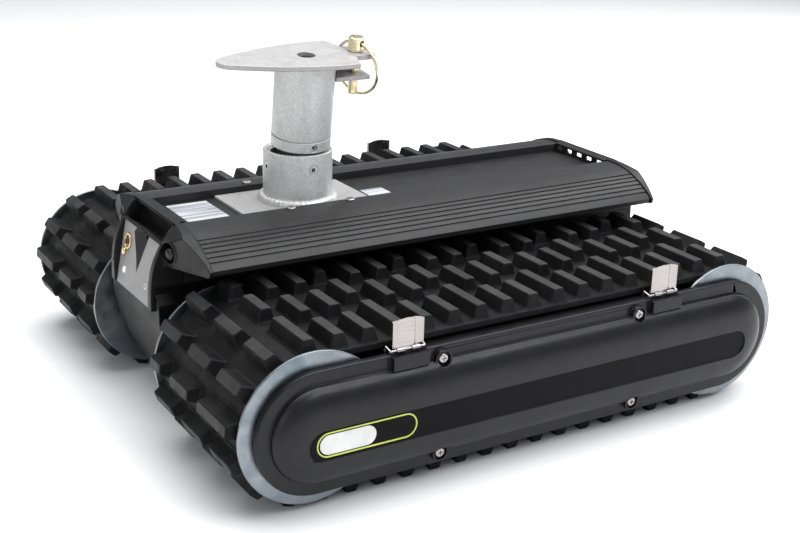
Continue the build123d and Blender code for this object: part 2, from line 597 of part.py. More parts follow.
with BuildPart() as socket_core:
    with BuildSketch(PANEL_PLANE.offset(-PANEL_T + 0.1)):
        with Locations(SOCKET_AT):
            Circle(5.9)
    extrude(amount=PANEL_T - 0.6)
    with BuildSketch(PANEL_PLANE.offset(-PANEL_T + 0.1)):
        with Locations(SOCKET_AT):
            Circle(1.4)
    extrude(amount=PANEL_T + 0.6)
save(socket_core.part, "socket_core")

with BuildPart() as socket_catch:  # spring catch of the socket's lock, beside the ring
    with BuildSketch(PANEL_PLANE):
        with Locations((SOCKET_AT[0] - 3.6, SOCKET_AT[1] - 11.2)):
            Circle(3.5)
    extrude(amount=3.2)
    fillet(socket_catch.edges().sort_by(Axis.X)[0], 1.2)
save(socket_catch.part, "socket_catch")

with BuildPart() as status_lens:
    with BuildSketch(PANEL_PLANE.offset(-PANEL_T + 0.1)):
        with Locations(LENS_AT):
            Circle(LENS_HOLE_R - 0.1)
    extrude(amount=PANEL_T + 1.1)
    fillet(status_lens.edges().sort_by(Axis.X)[0], 1.1)
save(status_lens.part, "status_lens")

with BuildPart() as panel_screws:
    with BuildSketch(PANEL_PLANE.offset(-PANEL_T + 0.1)):
        with Locations(SCREW_AT):
            Circle(3.1)
            RegularPolygon(1.6, 6, mode=Mode.SUBTRACT)
    extrude(amount=PANEL_T - 0.1)
    with BuildSketch(PANEL_PLANE.offset(-PANEL_T + 0.1)):
        with Locations(SCREW_AT):
            Circle(3.1)
    extrude(amount=0.6)
with BuildPart() as panel_screws_all:
    add(panel_screws.part)
    mirror(panel_screws.part, about=Plane.YZ)
    mirror(panel_screws.part.moved(Location((0, 2 * SCREW_AT[0] + 6, 0))), about=Plane.YZ)
save(panel_screws_all.part, "panel_screws")

with BuildPart() as cap_plugs:
    with BuildSketch(FIN_PLANE.offset(-10)):
        with Locations((0, -1.5)):
            Circle(PLUG_R)
    extrude(amount=12.5)
    fillet(cap_plugs.edges().filter_by(GeomType.CIRCLE).sort_by(Axis.X)[0], 5)
    mirror(about=Plane.XZ)
    mirror(about=Plane.YZ)
save(cap_plugs.part, "cap_plugs")

# ---------------------------------------------------------------- base plate and socket of the post
PLATE_X0, PLATE_X1 = -184.0, -44.0
BASE_SCREWS = [(x, y) for x in (-144.0, -78.0) for y in (-50.5, 50.5)]
SET_SCREW_Z, SET_SCREW_R = 229.0, 4.6

with BuildPart() as base_plate:
    with BuildSketch(Plane.XY.offset(DECK_Z)):
        with Locations(((PLATE_X0 + PLATE_X1) / 2, 0)):
            Rectangle(PLATE_X1 - PLATE_X0, 2 * LIP_IN_Y - 1)
    extrude(amount=BASE_PLATE_Z - DECK_Z)
    fillet(base_plate.edges().filter_by(Axis.Z), 2)
save(base_plate.part, "base_plate")

with BuildPart() as socket_tube:
    with BuildSketch(Plane.XY.offset(BASE_PLATE_Z)):
        with Locations((POST_X, 0)):
            Circle(SOCKET_R)
            Circle(SOCKET_BORE_R, mode=Mode.SUBTRACT)
    extrude(amount=SOCKET_TOP_Z - BASE_PLATE_Z)
    chamfer(socket_tube.edges().group_by(Axis.Z)[-1], 0.8)
    for plane, centre, reach in (
        (Plane.XZ, (POST_X, SET_SCREW_Z), 2 * SOCKET_R),
        (Plane.YZ.offset(POST_X), (0, SET_SCREW_Z), -2 * SOCKET_R),
    ):
        with BuildSketch(plane):
            with Locations(centre):
                Circle(SET_SCREW_R + 0.2)
        extrude(amount=reach, mode=Mode.SUBTRACT)
save(socket_tube.part, "socket_tube")

with BuildPart() as weld_ring:
    with BuildSketch(Plane.XZ) as bead:
        with BuildLine():
            Line((SOCKET_R, BASE_PLATE_Z), (SOCKET_R + 5.5, BASE_PLATE_Z))
            ThreePointArc((SOCKET_R + 5.5, BASE_PLATE_Z), (SOCKET_R + 4.4, BASE_PLATE_Z + 4.6),
                          (SOCKET_R, BASE_PLATE_Z + 7))
            Line((SOCKET_R, BASE_PLATE_Z + 7), (SOCKET_R, BASE_PLATE_Z))
        make_face()
    revolve(axis=Axis.Z)
with BuildPart() as weld_bead:
    add(weld_ring.part.moved(Location((POST_X, 0, 0))))
save(weld_bead.part, "weld_bead")

with BuildPart() as base_screws:
    with BuildSketch(Plane.XY.offset(LIP_Z)):
        with Locations(BASE_SCREWS):
            Circle(4.6)
    extrude(amount=2.6)
    fillet(base_screws.edges().group_by(Axis.Z)[-1], 1.4)
    with BuildSketch(Plane.XY.offset(LIP_Z + 1.4)):
        with Locations(BASE_SCREWS):
            RegularPolygon(1.7, 6)
    extrude(amount=3, mode=Mode.SUBTRACT)
save(base_screws.part, "base_screws")

with BuildPart() as set_screws:  # grub screws that clamp the yoke in the socket
    with BuildSketch(Plane.XZ):
        with Locations((POST_X, SET_SCREW_Z)):
            Circle(SET_SCREW_R)
            RegularPolygon(2.2, 6, mode=Mode.SUBTRACT)
    extrude(amount=34.6)
    with BuildSketch(Plane.YZ.offset(POST_X)):
        with Locations((0, SET_SCREW_Z)):
            Circle(SET_SCREW_R)
            RegularPolygon(2.2, 6, mode=Mode.SUBTRACT)
    extrude(amount=-34.6)
    with BuildSketch(Plane.XY.offset(SET_SCREW_Z - 10)):
        with Locations((POST_X, 0)):
            Circle(SOCKET_BORE_R + 0.4)
    extrude(amount=20, mode=Mode.SUBTRACT)
save(set_screws.part, "set_screws")

with BuildPart() as info_label:
    with BuildSketch(Plane.XY.offset(DECK_Z)):
        with Locations((-216.5, 5.8)):
            Rectangle(43, 65)
    extrude(amount=0.4)
    with BuildSketch(Plane.XY.offset(DECK_Z)):
        with Locations((-24.5, -10.5)):
            Rectangle(26, 26)
    extrude(amount=0.4)
save(info_label.part, "labels")

# ---------------------------------------------------------------- tilt yoke, knuckle and swivel
# plane across the post at its tilt pin: local Z along the post, local X along the machine
POST = Plane(
    origin=(POST_X, 0, TILT_Z), x_dir=(1, 0, 0), z_dir=(0, -sin(radians(LEAN)), cos(radians(LEAN)))
)
TILT_PIN_R = 6.0
EYE_HALF, EYE_R = 12.0, 11.0  # half width and radius of the knuckle's eye
EAR_T = 6.0

with BuildPart() as tilt_yoke:
    with BuildSketch(Plane.XY.offset(BASE_PLATE_Z)):
        with Locations((POST_X, 0)):
            Circle(SOCKET_BORE_R - 0.1)
            Circle(SOCKET_BORE_R - 3, mode=Mode.SUBTRACT)
    extrude(amount=SOCKET_TOP_Z - 3 - BASE_PLATE_Z)
    with BuildSketch(Plane.XY.offset(BASE_PLATE_Z)):
        with Locations((POST_X, 0)):
            Circle(SOCKET_BORE_R - 2.5)
    extrude(amount=0.5)
    for side in (-1, 1):
        with BuildSketch(Plane.XY.offset(BASE_PLATE_Z)):
            with Locations((POST_X + side * (EYE_HALF + 0.4 + EAR_T / 2), 0)):
                Rectangle(EAR_T, 26)
        extrude(amount=TILT_Z + 9 - BASE_PLATE_Z)
    with BuildSketch(Plane.YZ.offset(POST_X - 26)):
        with Locations((0, TILT_Z)):
            Circle(TILT_PIN_R)
    extrude(amount=52, mode=Mode.SUBTRACT)
save(tilt_yoke.part, "tilt_yoke")

with BuildPart() as tilt_pin:
    with BuildSketch(Plane.YZ.offset(POST_X - EYE_HALF - EAR_T - 2)):
        with Locations((0, TILT_Z)):
            Circle(TILT_PIN_R)
    extrude(amount=2 * (EYE_HALF + EAR_T + 2))
save(tilt_pin.part, "tilt_pin")

with BuildPart() as knuckle:
    with BuildSketch(Plane.YZ.offset(POST_X - EYE_HALF)):
        with Locations((0, TILT_Z)):
            Circle(EYE_R)
    extrude(amount=2 * EYE_HALF)
    with BuildSketch(POST.offset(6)):
        Rectangle(2 * EYE_HALF, 2 * EYE_R)
    extrude(amount=10)
    with BuildSketch(POST.offset(15)):
        Circle(SPINDLE_R)
    extrude(amount=96 - 15)
    with BuildSketch(Plane.YZ.offset(POST_X - EYE_HALF - 1)):
        with Locations((0, TILT_Z)):
            Circle(TILT_PIN_R + RUN_GAP)
    extrude(amount=2 * EYE_HALF + 2, mode=Mode.SUBTRACT)
save(knuckle.part, "knuckle")

with BuildPart() as spindle_cap:  # washer and nut that hold the post on the spindle
    with BuildSketch(POST.offset(96.3)):
        Circle(24)
    extrude(amount=3)
    with BuildSketch(POST.offset(99.3)):
        RegularPolygon(13, 6)
    extrude(amount=9)
    with BuildSketch(POST.offset(96)):
        Circle(8)
    extrude(amount=13)
save(spindle_cap.part, "spindle_nut")

with BuildPart() as collar:
    with BuildSketch(POST.offset(COLLAR_H0)):
        Circle(TUBE_R + 0.2)
        Circle(SPINDLE_R + RUN_GAP, mode=Mode.SUBTRACT)
    extrude(amount=COLLAR_H1 - COLLAR_H0)
    with BuildSketch(POST.offset(COLLAR_H1)):
        Circle(TUBE_R - 1.4)
        Circle(SPINDLE_R + RUN_GAP, mode=Mode.SUBTRACT)
    extrude(amount=TUBE_H0 - COLLAR_H1)
    with BuildSketch(POST.offset(TUBE_H0)):
        Circle(TUBE_BORE_R - 0.02)
        Circle(SPINDLE_R + RUN_GAP, mode=Mode.SUBTRACT)
    extrude(amount=94 - TUBE_H0)
    grub_plane = Plane(origin=POST.from_local_coords((0, 0, 51.4)), x_dir=(1, 0, 0), z_dir=-POST.y_dir)
    with BuildSketch(grub_plane.offset(SPINDLE_R + 1)):
        Circle(3.4)
    extrude(amount=20, mode=Mode.SUBTRACT)
save(collar.part, "swivel_collar")

with BuildPart() as grub:
    with BuildSketch(grub_plane.offset(SPINDLE_R + 1)):
        Circle(3.3)
        RegularPolygon(1.6, 6, mode=Mode.SUBTRACT)
    extrude(amount=6)
save(grub.part, "collar_screw")

with BuildPart() as post_tube:
    with BuildSketch(POST.offset(TUBE_H0)):
        Circle(TUBE_R)
        Circle(TUBE_BORE_R, mode=Mode.SUBTRACT)
    extrude(amount=PLATE_H0 - TUBE_H0)
save(post_tube.part, "post_tube")

# ---------------------------------------------------------------- hitch plate, bracket, lock pin
TONGUE_U = -94.0
PLATE_CORNER, PLATE_NECK, TAB_U = (39.5, 39.0), (47.0, 16.0), 70.0

with BuildPart() as hitch_plate:
    with BuildSketch(POST.offset(PLATE_H0)):
        with BuildLine():
            nose = ThreePointArc((TONGUE_U, 0), (TONGUE_U + 2.6, 7.4), (TONGUE_U + 9.5, 12.4))
            side = ThreePointArc(nose @ 1, (-36, 30), PLATE_CORNER)
            Polyline(side @ 1, PLATE_NECK, (PLATE_NECK[0], 0))
            mirror(about=Plane.XZ)
        make_face()
        Circle(HITCH_BORE_R, mode=Mode.SUBTRACT)
    extrude(amount=PLATE_H1 - PLATE_H0)
save(hitch_plate.part, "hitch_plate")

with BuildPart() as bracket:
    with BuildSketch(POST.offset(PLATE_H0)):  # tab welded to the plate's end
        with Locations((PLATE_NECK[0] + RUN_GAP, 0)):
            Rectangle(TAB_U - PLATE_NECK[0] - RUN_GAP, 2 * PLATE_NECK[1], align=(Align.MIN, Align.CENTER))
        with Locations((PIN_U, 0)):
            Circle(PIN_R + 0.08, mode=Mode.SUBTRACT)
        with Locations((TAB_U, 0)):
            SlotOverall(12, 5, mode=Mode.SUBTRACT)
    extrude(amount=PLATE_H1 - PLATE_H0)
    fillet(bracket.edges().filter_by(Axis(POST.origin, POST.z_dir)).group_by(Axis.X)[-1], 4)
    with BuildSketch(POST.offset(BRACKET_H0)):
        with Locations((TUBE_R - 2, 0)):
            Rectangle(66 - TUBE_R + 2, 28, align=(Align.MIN, Align.CENTER))
        Circle(TUBE_R, mode=Mode.SUBTRACT)
        with Locations((PIN_U, 0)):
            Circle(PIN_R + 0.08, mode=Mode.SUBTRACT)
    extrude(amount=BRACKET_H1 - BRACKET_H0)
    with BuildSketch(POST.offset(BRACKET_H0)):
        with Locations((TUBE_R - 2, 10)):
            Rectangle(66 - TUBE_R + 2, 4, align=(Align.MIN, Align.MIN))
        Circle(TUBE_R, mode=Mode.SUBTRACT)
    extrude(amount=PLATE_H0 - BRACKET_H0)
save(bracket.part, "pin_bracket")

PIN_PLANE = Plane(origin=POST.from_local_coords((PIN_U, 0, 0)), x_dir=(1, 0, 0), z_dir=POST.z_dir)
PIN_END_H, HEAD_H0, HEAD_H1, CROSS_H = 94.0, 138.3, 152.3, 146.5
CROSS_R = 3.1

ring_u = Vector(cos(radians(RING_TURN)), sin(radians(RING_TURN)), 0)
RING_AXIS = (PIN_PLANE.from_local_coords(ring_u) - PIN_PLANE.origin).normalized()
RING_HINGE = PIN_PLANE.from_local_coords((0, 0, CROSS_H))
RING_SIDE = RING_AXIS.cross(POST.z_dir)  # square to the ring's plane
RING_LEAN = degrees(atan2(PIN_R + RING_WIRE_R + 0.5, 2 * RING_R))

with BuildPart() as lock_pin:
    with BuildSketch(PIN_PLANE.offset(PIN_END_H)):
        Circle(PIN_R)
    extrude(amount=HEAD_H0 - PIN_END_H)
    chamfer(lock_pin.edges().group_by(Axis.Z)[0], 1)
    with BuildSketch(PIN_PLANE.offset(HEAD_H0)):
        Circle(PIN_HEAD_R)
    extrude(amount=HEAD_H1 - HEAD_H0)
    chamfer(lock_pin.edges().group_by(Axis.Z)[-1], 1)
    with BuildSketch(Plane(origin=RING_HINGE - RING_AXIS * 20, z_dir=RING_AXIS)):
        Circle(CROSS_R)
    extrude(amount=40, mode=Mode.SUBTRACT)
save(lock_pin.part, "lock_pin")

hang = (POST.z_dir * -cos(radians(RING_LEAN)) - RING_SIDE * sin(radians(RING_LEAN))).normalized()
ring_centre = RING_HINGE + hang * (RING_R - 0.6)
ring_plane = Plane(origin=ring_centre, x_dir=RING_AXIS, z_dir=RING_AXIS.cross(hang))
with BuildPart() as pin_ring:
    with BuildSketch(Plane(origin=ring_centre - hang * RING_R, z_dir=RING_AXIS)):
        Circle(RING_WIRE_R)
    revolve(axis=Axis(ring_centre, ring_plane.z_dir))
save(pin_ring.part, "pin_ring")

# ---------------------------------------------------------------- drive and electronics
MOTOR_R = 25.0

with BuildPart() as gearmotor:
    with BuildSketch(side_plane(GEARBOX_Y0)):
        with Locations((AXLE_X, AXLE_Z)):
            RectangleRounded(60, 60, 8)
    extrude(amount=GEARBOX_Y1 - GEARBOX_Y0)
    with BuildSketch(Plane.YZ.offset(AXLE_X - 30)):
        with Locations((-(GEARBOX_Y0 + GEARBOX_Y1) / 2, AXLE_Z)):
            Circle(MOTOR_R)
    extrude(amount=-110)
    chamfer(gearmotor.edges().group_by(Axis.X)[0], 2)
    with BuildSketch(side_plane(GEARBOX_Y0)):
        with Locations((AXLE_X, AXLE_Z)):
            Circle(AXLE_R + RUN_GAP)
    extrude(amount=GEARBOX_Y1 - GEARBOX_Y0, mode=Mode.SUBTRACT)
save_pair(gearmotor.part, "gearmotor")

PAN_FLOOR_Z = PAN_BOTTOM_Z + SHEET
with BuildPart() as battery:
    with BuildSketch(Plane.XY.offset(PAN_FLOOR_Z)):
        with Locations((-70, 0)):
            Rectangle(230, 112)
    extrude(amount=72)
    fillet(battery.edges().filter_by(Axis.Z), 4)
    with BuildSketch(Plane.XY.offset(PAN_FLOOR_Z + 72)):
        with Locations((-165, -35), (-165, 35)):
            Circle(6)
    extrude(amount=9)
save(battery.part, "battery")

with BuildPart() as controller:
    with BuildSketch(Plane.XY.offset(PAN_FLOOR_Z + 90)):
        with Locations((-60, 0)):
            Rectangle(150, 110)
    extrude(amount=24)
save(controller.part, "controller")
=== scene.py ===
"""Looks of the tracked trailer mover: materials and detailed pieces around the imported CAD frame.

Everything is in metres in the CAD row frame: +X along the tracks, +Z up, -Y the near track.
"""

import json
import math

import bmesh
import bpy
from mathutils import Matrix, Vector


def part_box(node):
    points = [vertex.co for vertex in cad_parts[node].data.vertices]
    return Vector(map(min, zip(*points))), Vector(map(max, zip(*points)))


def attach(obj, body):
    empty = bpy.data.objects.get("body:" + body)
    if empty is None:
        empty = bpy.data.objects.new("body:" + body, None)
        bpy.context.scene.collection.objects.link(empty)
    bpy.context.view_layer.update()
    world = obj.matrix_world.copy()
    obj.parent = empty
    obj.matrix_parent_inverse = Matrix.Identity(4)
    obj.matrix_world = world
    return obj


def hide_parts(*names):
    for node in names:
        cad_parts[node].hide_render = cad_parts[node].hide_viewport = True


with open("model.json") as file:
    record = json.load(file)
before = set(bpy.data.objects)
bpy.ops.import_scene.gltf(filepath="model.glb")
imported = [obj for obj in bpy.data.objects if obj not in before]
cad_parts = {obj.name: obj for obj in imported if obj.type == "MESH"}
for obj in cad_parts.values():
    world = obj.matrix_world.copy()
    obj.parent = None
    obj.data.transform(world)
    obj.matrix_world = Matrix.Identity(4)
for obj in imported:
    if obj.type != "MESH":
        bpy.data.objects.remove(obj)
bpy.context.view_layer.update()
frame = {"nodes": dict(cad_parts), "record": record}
NODES = frame["nodes"]
MM = 0.001


# ---------------------------------------------------------------- node helpers
class Shader:
    """A Principled material and short ways to add procedural detail to it."""

    def __init__(self, name, colour, rough=0.5, metal=0.0, specular=0.5, coat=0.0, coat_rough=0.1):
        self.material = bpy.data.materials.new(name)
        self.material.use_nodes = True
        self.tree = self.material.node_tree
        self.bsdf = self.tree.nodes["Principled BSDF"]
        self.set("Base Color", (*colour, 1.0))
        self.set("Roughness", rough)
        self.set("Metallic", metal)
        self.set("Specular IOR Level", specular)
        self.set("Coat Weight", coat)
        self.set("Coat Roughness", coat_rough)
        self.coords = self.add("ShaderNodeTexCoord").outputs["Object"]
        self.normal = None

    def add(self, kind, **values):
        node = self.tree.nodes.new(kind)
        for key, value in values.items():
            setattr(node, key, value)
        return node

    def set(self, socket, value):
        self.bsdf.inputs[socket].default_value = value

    def link(self, a, b):
        self.tree.links.new(a, b)

    def stretched(self, scale):
        """Object coordinates with a scale along each axis, for grain that runs one way."""
        mapping = self.add("ShaderNodeMapping")
        mapping.inputs["Scale"].default_value = scale
        self.link(self.coords, mapping.inputs["Vector"])
        return mapping.outputs["Vector"]

    def noise(self, scale, detail=3.0, rough=0.55, coords=None, distortion=0.0):
        node = self.add("ShaderNodeTexNoise")
        node.inputs["Scale"].default_value = scale
        node.inputs["Detail"].default_value = detail
        node.inputs["Roughness"].default_value = rough
        node.inputs["Distortion"].default_value = distortion
        self.link(coords or self.coords, node.inputs["Vector"])
        return node.outputs["Fac"]

    def cells(self, scale, feature="F1", coords=None):
        node = self.add("ShaderNodeTexVoronoi", feature=feature)
        node.inputs["Scale"].default_value = scale
        self.link(coords or self.coords, node.inputs["Vector"])
        return node

    def ramp(self, value, low, high, out_low=0.0, out_high=1.0):
        node = self.add("ShaderNodeMapRange")
        for key, number in zip(("From Min", "From Max", "To Min", "To Max"), (low, high, out_low, out_high)):
            node.inputs[key].default_value = number
        self.link(value, node.inputs["Value"])
        return node.outputs["Result"]

    def mix(self, factor, a, b):
        """Colour between a and b, each a colour or a socket."""
        node = self.add("ShaderNodeMix", data_type="RGBA")
        self.link(factor, node.inputs[0])
        for socket, value in ((node.inputs[6], a), (node.inputs[7], b)):
            if hasattr(value, "is_output"):
                self.link(value, socket)
            else:
                socket.default_value = (*value, 1.0)
        return node.outputs[2]

    def colour(self, socket):
        self.link(socket, self.bsdf.inputs["Base Color"])

    def rough(self, value, low, high, out_low, out_high):
        self.link(self.ramp(value, low, high, out_low, out_high), self.bsdf.inputs["Roughness"])

    def bump(self, height, distance, strength=1.0):
        """Adds a bump layer of a real depth, in metres, on top of the earlier ones."""
        node = self.add("ShaderNodeBump")
        node.inputs["Strength"].default_value = strength
        node.inputs["Distance"].default_value = distance
        self.link(height, node.inputs["Height"])
        if self.normal:
            self.link(self.normal, node.inputs["Normal"])
        self.normal = node.outputs["Normal"]
        self.link(self.normal, self.bsdf.inputs["Normal"])


# ---------------------------------------------------------------- materials
def rubber(name="rubber", dark=(0.004, 0.004, 0.0045), pale=(0.011, 0.011, 0.0115), specular=0.16):
    s = Shader(name, dark, rough=0.6, specular=specular)
    patches = s.noise(28, 5, 0.6)
    s.colour(s.mix(s.ramp(patches, 0.35, 0.7), dark, pale))
    s.rough(s.noise(60, 4), 0.3, 0.7, 0.42, 0.72)
    s.bump(s.noise(1400, 2), 0.00006)
    s.bump(s.noise(260, 4), 0.00015)
    return s.material


def powder_black(name="cover_black", base=(0.0035, 0.0035, 0.005), rough=0.36, specular=0.3, coat=0.06):
    s = Shader(name, base, rough=rough, specular=specular, coat=coat, coat_rough=0.2)
    s.colour(s.mix(s.ramp(s.noise(14, 3), 0.3, 0.7), base, tuple(c * 1.5 for c in base)))
    s.rough(s.noise(35, 4), 0.3, 0.7, rough - 0.05, rough + 0.08)
    s.bump(s.noise(900, 2, 0.5), 0.000035)
    return s.material


def zinc_plate():
    s = Shader("zinc", (0.24, 0.27, 0.30), rough=0.36, metal=1.0)
    cloud = s.noise(22, 6, 0.62, distortion=0.6)
    s.colour(s.mix(s.ramp(cloud, 0.3, 0.72), (0.15, 0.185, 0.215), (0.33, 0.35, 0.365)))
    s.rough(s.noise(90, 5), 0.3, 0.7, 0.26, 0.46)
    s.bump(s.noise(700, 3), 0.00004)
    return s.material


def anodised():
    s = Shader("deck_grey", (0.017, 0.017, 0.0175), rough=0.42, specular=0.3)
    grain = s.noise(240, 3, coords=s.stretched((0.04, 1, 1)))
    s.colour(s.mix(s.ramp(grain, 0.3, 0.7), (0.014, 0.014, 0.0145), (0.021, 0.021, 0.0215)))
    s.rough(s.noise(50, 4), 0.3, 0.7, 0.36, 0.48)
    s.bump(grain, 0.00003)
    s.bump(s.noise(1100, 2), 0.00003)
    return s.material


def moulded(name, base, rough=0.5, grain=0.00005, specular=0.4):
    s = Shader(name, base, rough=rough, specular=specular)
    darker, lighter = tuple(c * 0.85 for c in base), tuple(c * 1.2 for c in base)
    s.colour(s.mix(s.ramp(s.noise(30, 3), 0.3, 0.7), darker, lighter))
    s.rough(s.noise(80, 4), 0.3, 0.7, rough - 0.08, rough + 0.08)
    s.bump(s.noise(1000, 2), grain)
    return s.material


def painted_panel():
    s = Shader("panel_grey", (0.26, 0.255, 0.255), rough=0.42, specular=0.4)
    s.colour(s.mix(s.ramp(s.noise(700, 2), 0.3, 0.7), (0.235, 0.232, 0.233), (0.29, 0.285, 0.285)))
    s.rough(s.noise(60, 3), 0.3, 0.7, 0.36, 0.5)
    s.bump(s.noise(1300, 2), 0.00003)
    return s.material


def galvanised(name="galvanised", dark=(0.50, 0.50, 0.49), pale=(0.68, 0.68, 0.67), metal=0.55):
    s = Shader(name, pale, rough=0.45, metal=metal)
    speckle = s.noise(420, 4, 0.7)
    spangle = s.cells(150).outputs["Color"]
    base = s.mix(s.ramp(speckle, 0.35, 0.68), dark, pale)
    grey = s.mix(s.ramp(s.noise(35, 4), 0.42, 0.7), (0.0, 0.0, 0.0), (0.55, 0.55, 0.55))
    s.colour(s.mix(s.ramp(grey, 0, 1, 0, 0.3), base, (0.42, 0.42, 0.42)))
    s.rough(spangle, 0.0, 1.0, 0.34, 0.52)
    s.bump(s.noise(300, 4, 0.6), 0.00012)
    s.bump(s.noise(60, 3), 0.00025)
    return s.material


def bright_metal(name, base, rough=0.22, grain=(0.05, 1, 1)):
    s = Shader(name, base, rough=rough, metal=1.0)
    lines = s.noise(900, 3, coords=s.stretched(grain))
    darker, lighter = tuple(c * 0.9 for c in base), tuple(min(1, c * 1.08) for c in base)
    s.colour(s.mix(s.ramp(lines, 0.3, 0.7), darker, lighter))
    s.rough(s.noise(70, 4), 0.3, 0.7, rough - 0.06, rough + 0.12)
    s.bump(lines, 0.00002)
    return s.material


def yellow_zinc():
    s = Shader("yellow_zinc", (0.72, 0.6, 0.34), rough=0.28, metal=1.0)
    hue = s.noise(120, 4, 0.6, distortion=1.0)
    s.colour(s.mix(s.ramp(hue, 0.35, 0.65), (0.70, 0.52, 0.24), (0.80, 0.78, 0.58)))
    s.rough(s.noise(200, 3), 0.3, 0.7, 0.2, 0.4)
    s.bump(s.noise(500, 3), 0.00004)
    return s.material


def label_film():
    """White film with plain grey bars in rows, where a label would carry its data."""
    s = Shader("label_white", (0.72, 0.74, 0.76), rough=0.35, specular=0.5)
    split = s.add("ShaderNodeSeparateXYZ")
    s.link(s.coords, split.inputs["Vector"])
    rows = s.add("ShaderNodeMath", operation="FRACT")
    pitch = s.ramp(split.outputs["X"], 0.0, 1.0, 0.0, 140.0)
    s.link(pitch, rows.inputs[0])
    in_row = s.add("ShaderNodeMath", operation="LESS_THAN")
    in_row.inputs[1].default_value = 0.36
    s.link(rows.outputs[0], in_row.inputs[0])
    dashes = s.noise(300, 1, coords=s.stretched((0.02, 1, 1)))
    on = s.add("ShaderNodeMath", operation="GREATER_THAN")
    on.inputs[1].default_value = 0.47
    s.link(dashes, on.inputs[0])
    both = s.add("ShaderNodeMath", operation="MULTIPLY")
    s.link(in_row.outputs[0], both.inputs[0])
    s.link(on.outputs[0], both.inputs[1])
    s.colour(s.mix(both.outputs[0], (0.56, 0.58, 0.60), (0.26, 0.28, 0.30)))
    s.rough(s.noise(90, 3), 0.3, 0.7, 0.3, 0.42)
    return s.material


MATERIALS = {
    "rubber": rubber(),
    # lighter rubber for the lug tops: part wear, part painted sheen where the tops face the overhead light
    "rubber_wear_and_sheen": rubber("rubber_wear_and_sheen", (0.014, 0.014, 0.0145), (0.034, 0.034, 0.034), 0.3),
    "cover_black": powder_black(),
    "strip_black": powder_black("strip_black", (0.0025, 0.0025, 0.003), 0.3, 0.08, 0.0),
    "zinc": zinc_plate(),
    "deck_grey": anodised(),
    "cap_black": moulded("cap_black", (0.008, 0.008, 0.0085), 0.42, specular=0.28),
    "pan_black": powder_black("pan_black", (0.003, 0.003, 0.003), 0.42, 0.2, 0.0),
    "panel_grey": painted_panel(),
    "galvanised": galvanised(),
    "galvanised_flat": galvanised("galvanised_flat", (0.36, 0.355, 0.35), (0.44, 0.435, 0.43), 0.3),
    "stainless": bright_metal("stainless", (0.40, 0.375, 0.36), 0.2),
    "steel": bright_metal("steel", (0.5, 0.5, 0.51), 0.26),
    "yellow_zinc": yellow_zinc(),
    "brass": bright_metal("brass", (0.78, 0.6, 0.3), 0.2),
    "insert_black": moulded("insert_black", (0.014, 0.014, 0.014), 0.3),
    "lens_white": moulded("lens_white", (0.9, 0.9, 0.92), 0.15, 0.00001),
    "badge_green": moulded("badge_green", (0.5, 0.58, 0.1), 0.3, 0.00001),
    "badge_white": moulded("badge_white", (0.62, 0.62, 0.6), 0.3, 0.00001),
    "label_white": label_film(),
    "motor_grey": moulded("motor_grey", (0.1, 0.1, 0.11), 0.45),
    "battery_black": moulded("battery_black", (0.04, 0.04, 0.045), 0.5),
    "pcb_box": bright_metal("pcb_box", (0.4, 0.4, 0.42), 0.35),
}
RECORD = frame["record"]
SLOT_OF = {part["node"]: part["material_slot"] for part in RECORD["subparts"]}
BODY_OF = {node: body for body, nodes in RECORD["behaviour"]["bodies"].items() for node in nodes}


def dress_cad():
    """Every CAD node that stays in view gets its own finish."""
    for node, obj in NODES.items():
        obj.data.materials.clear()
        obj.data.materials.append(MATERIALS[SLOT_OF[node]])


def place_piece(name, bm, node, material=None, replaced=None):
    """Makes a mesh piece in row coordinates that rides on the node's body."""
    mesh = bpy.data.meshes.new(name)
    bm.to_mesh(mesh)
    bm.free()
    piece = bpy.data.objects.new(name, mesh)
    bpy.context.scene.collection.objects.link(piece)
    mesh.materials.append(MATERIALS[material or SLOT_OF[node]])
    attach(piece, BODY_OF[node])
    if replaced:
        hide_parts(*replaced)
    return piece


def round_edges(piece, width, segments=2, angle=30):
    bevel = piece.modifiers.new("round_edges", "BEVEL")
    bevel.width = width
    bevel.segments = segments
    bevel.limit_method = "ANGLE"
    bevel.angle_limit = math.radians(angle)
    bevel.use_clamp_overlap = False
    bevel.harden_normals = True


def smooth_shaded(bm, sharp=30):
    for face in bm.faces:
        face.smooth = True
    for edge in bm.edges:
        if len(edge.link_faces) == 2 and edge.calc_face_angle(0) > math.radians(sharp):
            edge.smooth = False


# pieces with notched faces, which stay in triangles so that rounding their edges can't fill a notch
KEEP_FACES = ("belly_pan", "cover_near", "cover_far", "end_cap_front", "end_cap_rear", "pin_bracket")


def refined(node, width, material=None):
    """A worked-up copy of a CAD node: joined faces, rounded edges and even shading."""
    source = NODES[node]
    bm = bmesh.new()
    bm.from_mesh(source.data)
    bm.transform(source.matrix_world)
    bmesh.ops.remove_doubles(bm, verts=bm.verts, dist=0.004 * MM)
    if node not in KEEP_FACES:
        bmesh.ops.dissolve_limit(bm, angle_limit=math.radians(0.6), verts=bm.verts, edges=bm.edges)
    smooth_shaded(bm)
    piece = place_piece(f"{node}_body", bm, node, material, [node])
    round_edges(piece, width)
    return piece


def corners(node):
    low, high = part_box(node)
    return Vector(low), Vector(high)


# ---------------------------------------------------------------- tracks
ROWS, NEUTRAL_R, CARCASS = 45, 60 * MM, 7 * MM
LUG_H = 13 * MM
SHORT_ROW = ((87, 132), (151, 196), (212, 257))
LONG_ROW = ((87, 115), (135, 177), (195, 257))
# rings of a lug from foot to top: half width, inset of its ends, height above the belt
LUG_RINGS = ((9.9, -0.8, -0.4), (8.5, 0.1, 1.2), (8.1, 0.4, 2.4), (5.5, 1.5, 12.1), (4.7, 2.2, 13.0))
LUG_CORNER = 1.1


